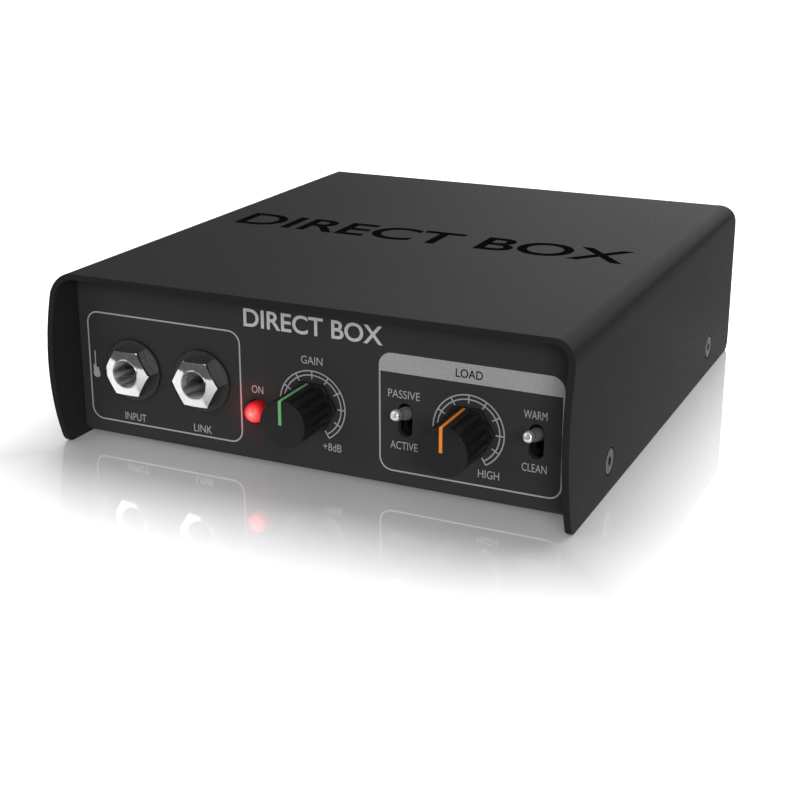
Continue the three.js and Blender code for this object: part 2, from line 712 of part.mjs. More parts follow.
function balancedOutput() {
  const pieces = [
    piece("output_shell", outputShell(), NICKEL),
    piece("output_insert", outputInsert(), PLASTIC_BLACK),
    ...outputPins(),
    ...outputScrews(),
  ];
  return groupOf(pieces, OUTPUT_X, PANEL_REAR, OUTPUT_Z);
}

// --- Ground lift switch -----------------------------------------------------------------------------
// Built about the middle of its travel, with y = 0 at the outside of the rear panel.

function liftSwitch() {
  const front = -SHEET - SEAM;
  const bottom = BOARD.top + SEAM - LIFT_Z;
  const half = LIFT_BODY.width / 2;
  const windowHalf = LIFT.window / 2;
  const windowHeight = LIFT.windowHeight / 2;
  const block = box(-half, half, front - LIFT_BODY.depth, front, bottom, LIFT_BODY.top);
  const window = box(-windowHalf, windowHalf, front - LIFT_BODY.room, OVERCUT, -windowHeight, windowHeight);
  const low = -LIFT.travel / 2 - LIFT.knob / 2;
  const back = front - LIFT_BODY.room + LIFT_BODY.play;
  const slider = box(low, low + LIFT.knob, back, LIFT.reach, -LIFT.knobHeight / 2, LIFT.knobHeight / 2);
  const pieces = [
    piece("lift_switch_body", cut(block, window), NICKEL),
    piece("lift_switch_slider", slider, PLASTIC_BLACK),
  ];
  return groupOf(pieces, LIFT_X, PANEL_REAR, LIFT_Z);
}

// --- Circuit board ----------------------------------------------------------------------------------

function board() {
  const { top, thickness, half } = BOARD;
  const sheet = box(-half, half, BOARD_FRONT, BOARD_REAR, top - thickness, top);
  const holes = BOARD_SCREWS.map(([, x, y]) => rodZ(SCREW.hole / 2, 0, HEIGHT, x, y));
  return piece("circuit_board", cut(sheet, ...holes), BOARD_GREEN);
}

function boardMounts() {
  const floor = TRAY_LIFT + SHEET;
  const underside = BOARD.top - BOARD.thickness;
  const seat = BOARD.top + SEAM;
  const crown = seat + BOARD_SCREW_HEAD;
  return BOARD_SCREWS.flatMap(([place, x, y]) => {
    const post = rodZ(BOARD_POST / 2, floor + SEAM, underside - SEAM, x, y, 6);
    const head = rodZ(SCREW.head / 2, seat, crown, x, y);
    const thread = rodZ(SCREW.thread / 2, floor + 1, seat + 1, x, y);
    const driver = rodZ(SCREW.driver / 2, crown - SCREW.driverDepth, HEIGHT, x, y, 6);
    return [
      piece(`board_post_${place}`, cut(post, rodZ(SCREW.hole / 2, 0, HEIGHT, x, y)), NICKEL),
      piece(`board_screw_${place}`, cut(joined(head, thread), driver), SCREW_BLACK),
    ];
  });
}

function boardComponents() {
  const base = BOARD.top + SEAM;
  const capacitors = CAPACITOR.x.map((x, index) => {
    const can = rodZ(CAPACITOR.radius, base, base + CAPACITOR.height, x, CAPACITOR.y);
    return piece(`capacitor_${index + 1}`, can, PLASTIC_BLACK);
  });
  const chips = CHIP.x.map((x, index) => {
    const half = CHIP.length / 2;
    const body = box(x - half, x + half, CHIP.y, CHIP.y + CHIP.width, base, base + CHIP.height);
    return piece(`amplifier_${index + 1}`, body, PLASTIC_BLACK);
  });
  return [...capacitors, ...chips];
}

// --- The whole box ----------------------------------------------------------------------------------

const directBox = new THREE.Group();
directBox.add(
  cover(),
  ...coverScrews(),
  tray(),
  ...footPads(),
  board(),
  ...boardMounts(),
  ...boardComponents(),
  jack("input", JACK_X[0]),
  jack("link", JACK_X[1]),
  rotaryControl("gain", GAIN_X, GREEN),
  rotaryControl("tone", TONE_X, ORANGE),
  leverSwitch("load", LOAD_SWITCH_X),
  leverSwitch("voice", VOICE_SWITCH_X),
  powerLamp(),
  balancedOutput(),
  liftSwitch(),
);

export default directBox;
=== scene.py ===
import json
import math

import bmesh
import bpy
from mathutils import Matrix, Vector


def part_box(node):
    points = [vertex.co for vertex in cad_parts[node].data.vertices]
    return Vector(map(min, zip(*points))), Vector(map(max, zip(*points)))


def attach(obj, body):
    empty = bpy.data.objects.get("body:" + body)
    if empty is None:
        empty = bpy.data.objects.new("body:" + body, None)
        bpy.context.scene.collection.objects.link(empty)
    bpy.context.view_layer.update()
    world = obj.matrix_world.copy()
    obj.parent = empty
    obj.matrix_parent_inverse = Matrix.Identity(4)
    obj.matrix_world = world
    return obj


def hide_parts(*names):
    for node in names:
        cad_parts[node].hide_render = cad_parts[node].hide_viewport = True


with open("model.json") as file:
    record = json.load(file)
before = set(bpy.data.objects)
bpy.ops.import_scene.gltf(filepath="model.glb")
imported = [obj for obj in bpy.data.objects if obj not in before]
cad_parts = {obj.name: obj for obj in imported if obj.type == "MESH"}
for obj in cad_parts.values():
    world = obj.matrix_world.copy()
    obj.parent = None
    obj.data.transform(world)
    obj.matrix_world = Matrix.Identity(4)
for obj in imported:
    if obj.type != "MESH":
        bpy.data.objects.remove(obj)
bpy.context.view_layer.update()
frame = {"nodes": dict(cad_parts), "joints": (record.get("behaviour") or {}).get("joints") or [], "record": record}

# Pieces are modelled in millimetres, in the frame's own axes, and scaled once when they are added.
MM = 0.001


def cad_box(node):
    low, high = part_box(node)
    return low / MM, high / MM


def cad_middle(node):
    low, high = cad_box(node)
    return (low + high) / 2


COVER_LOW, COVER_HIGH = cad_box("cover")
TRAY_LOW, TRAY_HIGH = cad_box("tray")
PANEL = TRAY_LOW.y
REAR_PANEL = TRAY_HIGH.y
HALF_WIDTH = COVER_HIGH.x

# Cover
PRINT = 0.03
TOP = COVER_HIGH.z - PRINT
SHEET = 1.5
TOP_BEND = 5.0
WALL_BULGE = 4.0
WALL_TAIL = 2.8
WALL_TOE = 1.8
TOP_REAR = COVER_HIGH.y - WALL_TAIL

# Controls and connectors
JACKS = {"input": cad_middle("input_jack_washer"), "link": cad_middle("link_jack_washer")}
JOINTS = {joint["name"]: Vector(joint["pos_m"]) / MM for joint in frame["joints"] if "pos_m" in joint}
GAIN = JOINTS["gain_turn"]
TONE = JOINTS["tone_turn"]
LOAD = JOINTS["load_flip"]
VOICE = JOINTS["voice_flip"]
LENS_RADIUS = 2.4
LAMP = Vector((cad_middle("power_lamp").x, PANEL - 1.1, cad_box("power_lamp")[1].z - LENS_RADIUS))
OUTPUT = cad_middle("output_shell")
NUT_FRONT = PANEL - 3.1
PLUG_RADIUS = 3.2
KNOB_FRONT = cad_box("gain_knob")[0].y + 0.05
POINTER_SHIFT = cad_middle("gain_pointer").x - GAIN.x


# --- Materials --------------------------------------------------------------------------------------


class Look:
    """A Principled material whose colour, roughness and relief come from noise in object space."""

    def __init__(self, name, roughness=0.5, metallic=0.0, specular=0.5):
        self.material = bpy.data.materials.new(name)
        self.material.use_nodes = True
        self.tree = self.material.node_tree
        self.shader = self.tree.nodes["Principled BSDF"]
        self.set("Roughness", roughness)
        self.set("Metallic", metallic)
        self.set("Specular IOR Level", specular)
        self.place = self.node("ShaderNodeTexCoord").outputs["Object"]

    def node(self, kind, **settings):
        node = self.tree.nodes.new(kind)
        for key, value in settings.items():
            setattr(node, key, value)
        return node

    def join(self, source, target):
        self.tree.links.new(source, target)

    def set(self, socket, value):
        self.shader.inputs[socket].default_value = value

    def noise(self, per_mm, detail=2.0, stretch=(1, 1, 1)):
        mapping = self.node("ShaderNodeMapping")
        mapping.inputs["Scale"].default_value = stretch
        noise = self.node("ShaderNodeTexNoise")
        noise.inputs["Scale"].default_value = per_mm / MM
        noise.inputs["Detail"].default_value = detail
        self.join(self.place, mapping.inputs["Vector"])
        self.join(mapping.outputs["Vector"], noise.inputs["Vector"])
        return noise.outputs["Fac"]

    def ramp(self, source, stops):
        ramp = self.node("ShaderNodeValToRGB")
        elements = ramp.color_ramp.elements
        while len(elements) < len(stops):
            elements.new(0.5)
        for element, (position, colour) in zip(elements, stops):
            element.position = position
            element.color = (*colour, 1)
        self.join(source, ramp.inputs["Fac"])
        return ramp.outputs["Color"]

    def colour(self, source, dark, light, low=0.3, high=0.7):
        self.join(self.ramp(source, [(low, dark), (high, light)]), self.shader.inputs["Base Color"])
        return self

    def rough(self, source, low, high):
        spread = self.node("ShaderNodeMapRange")
        spread.inputs["From Min"].default_value = 0.3
        spread.inputs["From Max"].default_value = 0.7
        spread.inputs["To Min"].default_value = low
        spread.inputs["To Max"].default_value = high
        self.join(source, spread.inputs["Value"])
        self.join(spread.outputs["Result"], self.shader.inputs["Roughness"])
        return self

    def relief(self, source, height, strength=1.0):
        bump = self.node("ShaderNodeBump")
        bump.inputs["Strength"].default_value = strength
        bump.inputs["Distance"].default_value = height * MM
        self.join(source, bump.inputs["Height"])
        self.join(bump.outputs["Normal"], self.shader.inputs["Normal"])
        return self


def grey(value):
    return (value, value, value * 1.03)


def powder_coat(name, dark, light, specular, roughness):
    look = Look(name, specular=specular)
    grain = look.noise(2.2, 3)
    look.colour(look.noise(0.02, 2), grey(dark), grey(light))
    look.rough(grain, roughness - 0.08, roughness + 0.08)
    return look.relief(grain, 0.02, 0.07)


def painted_shade_on_sides(look, shade, share):
    """Paints shade on upright faces: part of the sheen is faded out there for a dark matt shader, where it would
    mirror the bright floor.
    """
    normal = look.node("ShaderNodeNewGeometry").outputs["Normal"]
    split = look.node("ShaderNodeSeparateXYZ")
    look.join(normal, split.inputs["Vector"])
    level = look.node("ShaderNodeMath", operation="ABSOLUTE")
    look.join(split.outputs["Z"], level.inputs[0])
    spread = look.node("ShaderNodeMapRange")
    spread.inputs["From Max"].default_value = 0.8
    spread.inputs["To Min"].default_value = share
    look.join(level.outputs[0], spread.inputs["Value"])
    flat = look.node("ShaderNodeBsdfDiffuse")
    flat.inputs["Color"].default_value = (*grey(shade), 1)
    mix = look.node("ShaderNodeMixShader")
    look.join(spread.outputs["Result"], mix.inputs["Fac"])
    look.join(flat.outputs["BSDF"], mix.inputs[1])
    look.join(look.shader.outputs["BSDF"], mix.inputs[2])
    output = look.tree.nodes["Material Output"]
    look.join(mix.outputs["Shader"], output.inputs["Surface"])
    return look


def moulded(name, dark, light, roughness, specular=0.5):
    look = Look(name, specular=specular)
    grain = look.noise(4.0, 2)
    look.colour(look.noise(0.3, 3), grey(dark), grey(light))
    look.rough(grain, roughness - 0.06, roughness + 0.06)
    return look.relief(grain, 0.01, 0.3)


def plated(name, dark, light, roughness, metallic=1.0):
    look = Look(name, metallic=metallic)
    brushing = look.noise(0.8, 4, (1, 0.15, 1))
    look.colour(brushing, dark, light)
    look.rough(brushing, roughness * 0.6, roughness * 1.4)
    return look.relief(look.noise(3.0, 2), 0.002, 0.15)


def painted(name, dark, light, roughness=0.5, specular=0.4):
    look = Look(name, specular=specular)
    speckle = look.noise(5.0, 3)
    look.colour(speckle, dark, light)
    look.rough(speckle, roughness - 0.05, roughness + 0.05)
    return look.relief(speckle, 0.004, 0.3)


def lens_look():
    """Red diffusing plastic lit from inside: palest in the middle of the dome."""
    look = Look("lamp_lens", roughness=0.35)
    offset = look.node("ShaderNodeVectorMath", operation="DISTANCE")
    offset.inputs[1].default_value = (LAMP + Vector((0.2, -2.2, 0.1))) * MM
    look.join(look.place, offset.inputs[0])
    spread = look.node("ShaderNodeMapRange")
    spread.inputs["From Max"].default_value = 3.2 * MM
    look.join(offset.outputs["Value"], spread.inputs["Value"])
    stops = [
        (0.0, (1.0, 0.42, 0.38)),
        (0.25, (1.0, 0.15, 0.15)),
        (0.55, (0.70, 0.02, 0.028)),
        (0.8, (0.30, 0.003, 0.008)),
        (1.0, (0.06, 0.0, 0.002)),
    ]
    glow = look.ramp(spread.outputs["Result"], stops)
    look.join(glow, look.shader.inputs["Emission Color"])
    look.set("Emission Strength", 0.9)
    look.colour(look.noise(1.0), (0.5, 0.01, 0.01), (0.6, 0.02, 0.02))
    return look


# The cover's upright faces carry painted shade: half of their sheen there is a dark matt shader.
COVER_COAT = painted_shade_on_sides(powder_coat("cover_coat", 0.017, 0.019, 0.006, 0.32), 0.02, 0.5)
PANEL_COAT = powder_coat("panel_coat", 0.034, 0.037, 0.0, 0.5)
WASHER_BLACK = moulded("washer_black", 0.015, 0.018, 0.4, 0.25)
KNOB_BLACK = moulded("knob_black", 0.0105, 0.013, 0.38, 0.12)
PLASTIC = moulded("moulded_black", 0.012, 0.018, 0.45)
RUBBER = moulded("pad_rubber", 0.008, 0.013, 0.85)
NUT_METAL = plated("bright_nickel", (0.50, 0.51, 0.52), (0.57, 0.58, 0.59), 0.08)
# Paler than the nut's nickel: the paleness is painted light inside the plug's way, and the higher roughness is the
# metal's own.
BORE_METAL = plated("bore_nickel", (0.72, 0.73, 0.74), (0.86, 0.86, 0.87), 0.45)
LEVER_METAL = plated("lever_nickel", (0.72, 0.73, 0.74), (0.84, 0.85, 0.86), 0.3, 0.8)
SATIN_METAL = plated("satin_nickel", (0.42, 0.42, 0.43), (0.55, 0.55, 0.56), 0.3)
BRONZE = plated("contact_bronze", (0.60, 0.38, 0.14), (0.72, 0.48, 0.2), 0.25)
SCREW_STEEL = moulded("blackened_steel", 0.016, 0.022, 0.5, 0.15)
LINE_GREY = painted("print_grey", (0.30, 0.30, 0.30), (0.38, 0.38, 0.38), 0.5, 0.1)
TITLE_GREY = painted("print_pale", (0.42, 0.42, 0.42), (0.52, 0.52, 0.52), 0.5, 0.1)
BAND_GREY = painted("print_band", (0.27, 0.27, 0.27), (0.37, 0.37, 0.37), 0.5, 0.1)
BAND_DARK = painted("print_dark", (0.003, 0.003, 0.003), (0.005, 0.005, 0.005), 0.5, 0.0)
GLOSS_BLACK = painted("print_black", (0.002, 0.002, 0.002), (0.003, 0.003, 0.003), 0.5, 0.0)
GREEN = painted("pointer_green", (0.10, 0.36, 0.13), (0.13, 0.42, 0.16))
ORANGE = painted("pointer_orange", (0.74, 0.20, 0.008), (0.82, 0.24, 0.012))
BOARD = painted("solder_resist", (0.010, 0.07, 0.03), (0.02, 0.12, 0.05), 0.35)
LENS = lens_look()

SLOT_LOOKS = {
    "black_sheet_steel": PANEL_COAT,
    "black_screw": SCREW_STEEL,
    "black_washer": WASHER_BLACK,
    "nickel": SATIN_METAL,
    "gold_contact": BRONZE,
    "black_plastic": PLASTIC,
    "knob_black": KNOB_BLACK,
    "pointer_green": GREEN,
    "pointer_orange": ORANGE,
    "lamp_red": LENS,
    "rubber": RUBBER,
    "circuit_board": BOARD,
}


# --- Mesh tools -------------------------------------------------------------------------------------

# Where a point (a, b) at height h on each axis lies.
ALONG = {
    "x": lambda a, b, h: (h, a, b),
    "y": lambda a, b, h: (a, h, b),
    "z": lambda a, b, h: (a, b, h),
}


def loft(rings, looped=False):
    """A skin through closed rings of equal length, capped at both ends or looped back to the first."""
    bm = bmesh.new()
    made = [[bm.verts.new(point) for point in ring] for ring in rings]
    count = len(rings[0])
    following = made[1:] + made[:1] if looped else made[1:]
    for lower, upper in zip(made, following):
        for i in range(count):
            j = (i + 1) % count
            bm.faces.new((lower[i], lower[j], upper[j], upper[i]))
    if not looped:
        bm.faces.new(made[0][::-1])
        bm.faces.new(made[-1])
    bmesh.ops.recalc_face_normals(bm, faces=bm.faces)
    return bm


def prism(outline, axis, low, high):
    return loft([[ALONG[axis](a, b, h) for a, b in outline] for h in (low, high)])


def circle(radius, a=0.0, b=0.0, sides=64):
    turns = [2 * math.pi * i / sides for i in range(sides)]
    return [(a + radius * math.cos(t), b + radius * math.sin(t)) for t in turns]


def turned(profile, middle, sides=64):
    """Rings of [radius, y] about the Y axis through middle; radii near 0 close the ends."""
    rings = []
    for radius, y in profile:
        rings.append([(middle.x + a, y, middle.z + b) for a, b in circle(max(radius, 1e-3), sides=sides)])
    return loft(rings)


def rounded_rectangle(low, high, radius, steps=8):
    centres = [
        (high[0] - radius, high[1] - radius),
        (low[0] + radius, high[1] - radius),
        (low[0] + radius, low[1] + radius),
        (high[0] - radius, low[1] + radius),
    ]
    points = []
    for quarter, (a, b) in enumerate(centres):
        for step in range(steps + 1):
            turn = math.pi / 2 * (quarter + step / steps)
            points.append((a + radius * math.cos(turn), b + radius * math.sin(turn)))
    return points


def arc(radius, start, end, steps, a=0.0, b=0.0):
    turns = [math.radians(start + (end - start) * i / steps) for i in range(steps + 1)]
    return [(a + radius * math.cos(t), b + radius * math.sin(t)) for t in turns]


def soften(bm, width, segments=2, angle=35):
    """Rounds every edge sharper than angle, in degrees."""
    limit = math.radians(angle)
    sharp = [e for e in bm.edges if len(e.link_faces) == 2 and e.calc_face_angle() > limit]
    bmesh.ops.bevel(
        bm, geom=sharp, offset=width, segments=segments, profile=0.5, affect="EDGES", clamp_overlap=True
    )
    return bm


def scratch_object(bm):
    mesh = bpy.data.meshes.new("scratch")
    bm.to_mesh(mesh)
    bm.free()
    obj = bpy.data.objects.new("scratch", mesh)
    bpy.context.scene.collection.objects.link(obj)
    return obj


def boolean(operation, bm, *others):
    target = scratch_object(bm)
    tools = [scratch_object(other) for other in others]
    for tool in tools:
        step = target.modifiers.new("step", "BOOLEAN")
        step.operation = operation
        step.solver = "EXACT"
        step.object = tool
    depsgraph = bpy.context.evaluated_depsgraph_get()
    result = bmesh.new()
    result.from_mesh(target.evaluated_get(depsgraph).to_mesh())
    for scratch in [target, *tools]:
        bpy.data.objects.remove(scratch)
    bmesh.ops.remove_doubles(result, verts=result.verts, dist=1e-3)
    bmesh.ops.dissolve_limit(result, angle_limit=math.radians(0.5), verts=result.verts, edges=result.edges)
    return result


def carved(bm, *cutters):
    return boolean("DIFFERENCE", bm, *cutters)


def joined(bm, *others):
    return boolean("UNION", bm, *others)


def add(name, bm, look, body="casing", replaces=(), crisp=40):
    """Turns millimetres into metres and adds the mesh as a piece that rides on a body."""
    bmesh.ops.scale(bm, vec=(MM, MM, MM), verts=bm.verts)
    limit = math.radians(crisp)
    for face in bm.faces:
        face.smooth = True
    for edge in bm.edges:
        edge.smooth = len(edge.link_faces) == 2 and edge.calc_face_angle() < limit
    mesh = bpy.data.meshes.new(name)
    bm.to_mesh(mesh)
    bm.free()
    mesh.materials.append(look.material)
    obj = bpy.data.objects.new(name, mesh)
    bpy.context.scene.collection.objects.link(obj)
    normals = obj.modifiers.new("normals", "WEIGHTED_NORMAL")
    normals.keep_sharp = True
    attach(obj, body)
    if replaces:
        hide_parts(*replaces)
    return obj


# --- Casing -----------------------------------------------------------------------------------------


def wall_front(z):
    """The y of the side wall's bulging front end at height z, with its rounded toe."""
    half = COVER_HIGH.z / 2
    radius = (half**2 + WALL_BULGE**2) / (2 * WALL_BULGE)

    def on_arc(height):
        return COVER_LOW.y + radius - math.sqrt(radius**2 - (height - half) ** 2)

    if z >= WALL_TOE:
        return on_arc(z)
    t = 1 - math.sqrt(z / WALL_TOE)
    corner = on_arc(0)
    return (1 - t) ** 2 * on_arc(WALL_TOE) + 2 * t * (1 - t) * corner + t**2 * (corner + WALL_TOE)


def wall_rear(z):
    """The y of the side wall's upright rear end at height z, with its two rounded corners."""
    depth = max(WALL_TAIL - z, z - (COVER_HIGH.z - WALL_TAIL), 0)
    return TOP_REAR + math.sqrt(max(WALL_TAIL**2 - depth**2, 0))


def section_stations():
    """Points of the cover's outer face with their inward directions, from one wall's foot to the other's."""
    bend_x = HALF_WIDTH - TOP_BEND
    bend_z = TOP - TOP_BEND
    low = [WALL_TAIL * (1 - math.cos(math.pi / 2 * i / 8)) for i in range(8)]
    high = [WALL_TAIL + (bend_z - WALL_TAIL) * i / 24 for i in range(24)]
    right = [((HALF_WIDTH, z), (-1, 0)) for z in low + high]
    for a, b in arc(1.0, 0, 90, 16):
        right.append(((bend_x + TOP_BEND * a, bend_z + TOP_BEND * b), (-a, -b)))
    left = [((-x, z), (-dx, dz)) for (x, z), (dx, dz) in reversed(right)]
    return right + left


def cover():
    bm = bmesh.new()
    quads = []
    for (x, z), (dx, dz) in section_stations():
        nominal = z * COVER_HIGH.z / TOP
        front = wall_front(nominal)
        rear = wall_rear(nominal)
        inner_x = x + dx * SHEET
        inner_z = z + dz * SHEET
        corners = [(x, front, z), (x, rear, z), (inner_x, rear, inner_z), (inner_x, front, inner_z)]
        quads.append([bm.verts.new(corner) for corner in corners])
    for here, there in zip(quads, quads[1:]):
        for i in range(4):
            j = (i + 1) % 4
            bm.faces.new((here[i], here[j], there[j], there[i]))
    bm.faces.new(quads[0][::-1])
    bm.faces.new(quads[-1])
    bmesh.ops.recalc_face_normals(bm, faces=bm.faces)
    recess_radius = 3.1
    recess_depth = 0.6
    recesses = []
    for _, side, middle in cover_screws():
        outside = side * HALF_WIDTH
        low, high = sorted((outside - side * recess_depth, outside + side * 2))
        recesses.append(prism(circle(recess_radius, middle.y, middle.z, 48), "x", low, high))
    shaped = soften(carved(bm, *recesses), 0.2, 2)
    add("cover_sheet", shaped, COVER_COAT, replaces=["cover"])


def cover_screws():
    """Each cover screw's node, its side as the sign of x, and its middle."""
    places = []
    for name in ("front_left", "front_right", "rear_left", "rear_right"):
        node = f"cover_screw_{name}"
        places.append((node, 1 if "right" in name else -1, cad_middle(node)))
    return places


def star(radius, share, a, b, lobes=6, steps=48):
    """The outline of a lobed driver recess, whose radius swings by a share of itself."""
    outline = []
    for i in range(steps):
        turn = 2 * math.pi * i / steps
        reach = radius * (1 + share * math.cos(lobes * turn))
        outline.append((a + reach * math.cos(turn), b + reach * math.sin(turn)))
    return outline


def screw_heads():
    head_radius = 2.85
    head_height = 0.55
    drive_radius = 0.95
    drive_depth = 0.4
    lobe_share = 0.16
    for node, side, middle in cover_screws():
        face = side * (HALF_WIDTH - 0.02)
        low, high = sorted((face, face - side * head_height))
        head = prism(circle(head_radius, middle.y, middle.z, 48), "x", low, high)
        low, high = sorted((face + side, face - side * drive_depth))
        recess = prism(star(drive_radius, lobe_share, middle.y, middle.z), "x", low, high)
        head = soften(carved(head, recess), 0.1, 2)
        add(f"{node}_head", head, SCREW_STEEL, replaces=[node])


def pads():
    for name in ("front_left", "front_right", "rear_left", "rear_right"):
        node = f"foot_pad_{name}"
        low, high = cad_box(node)
        middle = (low + high) / 2
        outline = circle((high.x - low.x) / 2, middle.x, middle.y, 64)
        pad = soften(prism(outline, "z", low.z, high.z), 0.25, 3)
        add(f"{node}_rounded", pad, RUBBER, replaces=[node])


# --- Jacks ------------------------------------------------------------------------------------------


def hexagon(corner_radius, a, b):
    return circle(corner_radius, a, b, 6)


NUT_CORNER = 5.975
NUT_CROWN = 28.0
RIM_FRONT = NUT_FRONT - 0.78


def hexagon_reach(turn):
    """How far the nut's outline lies from its axis at an angle in degrees."""
    return NUT_CORNER * math.cos(math.radians(30)) / math.cos(math.radians(turn % 60 - 30))


def nut(middle):
    """A hexagonal nut whose front is slightly domed and rises to a rim round the plug's way in."""
    rim_radius = 3.36
    fillet = 0.12
    edge = 0.06
    crown_lead = 0.86
    chamfer = 0.12
    thread_radius = 4.6
    thread_front = NUT_FRONT + 0.8
    rear = PANEL - 0.82

    def dome(radius):
        return NUT_FRONT - crown_lead + radius * radius / (2 * NUT_CROWN)

    foot = dome(rim_radius + fillet)
    corner_level = dome(NUT_CORNER * 0.93) + chamfer
    # Each ring: the hexagon's share in its shape, its round part's radius, and its y or None for the dome's.
    rim = [(0, PLUG_RADIUS, thread_front), (0, PLUG_RADIUS, RIM_FRONT + edge)]
    rim += [(0, PLUG_RADIUS + edge * 0.3, RIM_FRONT + edge * 0.3), (0, PLUG_RADIUS + edge, RIM_FRONT)]
    rim += [(0, rim_radius - edge + a, RIM_FRONT + edge - b) for a, b in arc(edge, 90, 0, 3)]
    rim += [(0, rim_radius + fillet - a, foot - fillet + b) for a, b in arc(fillet, 0, 90, 5)]
    face = [(share, rim_radius + fillet, None) for share in (0.2, 0.4, 0.6, 0.8, 0.965)]
    flanks = [(1, 0, corner_level), (1, 0, rear)]
    thread = [(0, thread_radius, rear), (0, thread_radius, thread_front)]
    rings = []
    for share, base, y in [*rim, *face, *flanks, *thread]:
        ring = []
        for turn in range(0, 360, 4):
            reach = base * (1 - share) + hexagon_reach(turn) * share
            a = middle.x + reach * math.cos(math.radians(turn))
            b = middle.z + reach * math.sin(math.radians(turn))
            ring.append((a, dome(reach) if y is None else y, b))
        rings.append(ring)
    return loft(rings, looped=True)


def paint_bore(obj, middle):
    """Gives the faces inside the plug's way the rougher metal of the bushing, whose paler colour is painted light
    there.
    """
    obj.data.materials.append(BORE_METAL.material)
    for face in obj.data.polygons:
        reach = [math.hypot(*(obj.data.vertices[i].co.xz / MM - middle.xz)) for i in face.vertices]
        if max(reach) < PLUG_RADIUS + 0.05:
            face.material_index = 1


def jack(name, middle):
    washer_radius = 7.27
    washer_hole = 4.8
    washer = turned([(washer_radius, PANEL - 0.8), (washer_radius, PANEL - 0.02)], middle, 96)
    washer = carved(washer, turned([(washer_hole, PANEL - 3), (washer_hole, PANEL + 3)], middle))
    add(f"{name}_washer_ring", soften(washer, 0.18, 3), WASHER_BLACK,
        replaces=[f"{name}_jack_washer"])
    hex_nut = add(f"{name}_hex_nut", nut(middle), NUT_METAL,
                  replaces=[f"{name}_jack_nut"], crisp=32)
    paint_bore(hex_nut, middle)
    tube = 4.5
    shoulder = 5.4
    shoulder_front = PANEL + 3.9
    shoulder_rear = PANEL + 5.2
    tail = 3.75
    bushing = turned([(tube, NUT_FRONT + 0.9), (tube, shoulder_front), (shoulder, shoulder_front),
                      (shoulder, shoulder_rear), (tail, shoulder_rear), (tail, PANEL + 14)], middle)
    bushing = carved(bushing, turned([(PLUG_RADIUS, PANEL - 6), (PLUG_RADIUS, PANEL + 20)], middle))
    add(f"{name}_bushing_tube", soften(bushing, 0.07, 2), BORE_METAL,
        replaces=[f"{name}_jack_bushing"])


# --- Knobs ------------------------------------------------------------------------------------------


GROOVE_STEP = 24
GROOVE_START = 94


def grip_radius(turn, radius, depth, half):
    """The grip's radius at an angle in degrees: grooves all round but where the pointer lies."""
    step = round((turn - GROOVE_START) / GROOVE_STEP)
    beside = abs(turn - GROOVE_START - step * GROOVE_STEP)
    if step % (360 // GROOVE_STEP) == 0:
        return radius
    edge = min(max((half - beside) / 1.5, 0), 1)
    return radius - depth * edge * edge * (3 - 2 * edge)


def knob(name, axis, paint):
    foot = PANEL - 0.4
    collar_front = foot - 1.0
    face = KNOB_FRONT
    rim = 0.35
    grip = 5.33
    narrow = 3.6
    wide = 6
    # Each ring: its radius, its y, and the grooves' depth and half width in degrees.
    edge = [(grip - rim + a, face + rim - b, 0, narrow) for a, b in arc(rim, 90, 0, 6)]
    levels = [
        (1e-3, face, 0, narrow), *edge, (grip, face + 0.6, 0, narrow), (grip, face + 0.75, 0.35, narrow),
        (grip, collar_front - 0.6, 0.6, wide), (grip, collar_front - 0.5, 0, wide),
        (grip, foot - 0.1, 0, wide), (1e-3, foot - 0.1, 0, wide),
    ]
    rings = []
    for radius, y, depth, half in levels:
        ring = []
        for step in range(720):
            turn = step / 2
            reach = grip_radius(turn, radius, depth, half)
            ring.append((axis.x + reach * math.cos(math.radians(turn)), y,
                         axis.z + reach * math.sin(math.radians(turn))))
        rings.append(ring)
    body = f"{name}_dial"
    add(f"{name}_knob_grip", loft(rings), KNOB_BLACK, body, [f"{name}_knob"], 28)
    collar = prism(hexagon(6.2, axis.x, axis.z), "y", collar_front, foot)
    add(f"{name}_knob_collar", soften(collar, 0.25, 3), KNOB_BLACK, body)
    raised = 0.04
    sunk = 0.5
    half_width = 0.35
    bend = [(axis.z + grip - rim + a, face + rim - b) for a, b in arc(rim + raised, 90, 0, 6)]
    outside = [(axis.z, face - raised), *bend, (axis.z + grip + raised, collar_front - 0.05)]
    inside = [(axis.z + grip - sunk, collar_front - 0.05), (axis.z + grip - sunk, face + sunk),
              (axis.z, face + sunk)]
    outline = [(y, z) for z, y in outside + inside]
    middle = axis.x + POINTER_SHIFT
    stripe = prism(outline, "x", middle - half_width, middle + half_width)
    add(f"{name}_pointer_stripe", stripe, paint, body, [f"{name}_pointer"])


# --- Switches and lamp ------------------------------------------------------------------------------


def lever(name):
    pivot = JOINTS[f"{name}_flip"]
    length = 11.1
    tip = 1.28
    flat = 0.55
    nose = 1.15
    rest_tilt = -14
    end = [(flat + (tip - flat) * math.sin(t), -length - nose * math.cos(t)) for t in quarter_turn(9)]
    ball = [(1e-3, -length - nose), *end, (tip, -length + 0.3), (1.22, -length + 0.7)]
    shaft = [(1.12, -length + 1.2), (1.1, -length + 1.8), (1.25, -8.0), (1.45, PANEL - pivot.y)]
    profile = [*ball, *shaft, (1.4, -5.0), (1.1, -4.0), (1e-3, -3.9)]
    middle = Vector((0, 0, 0))
    bat = turned(profile, middle, 48)
    tilt = Matrix.Rotation(math.radians(rest_tilt), 3, "X")
    bmesh.ops.rotate(bat, cent=middle, matrix=tilt, verts=bat.verts)
    bmesh.ops.translate(bat, vec=pivot, verts=bat.verts)
    add(f"{name}_bat_lever", bat, LEVER_METAL, f"{name}_lever", [f"{name}_switch_lever"])


def quarter_turn(steps):
    return [math.pi / 2 * i / steps for i in range(steps + 1)]


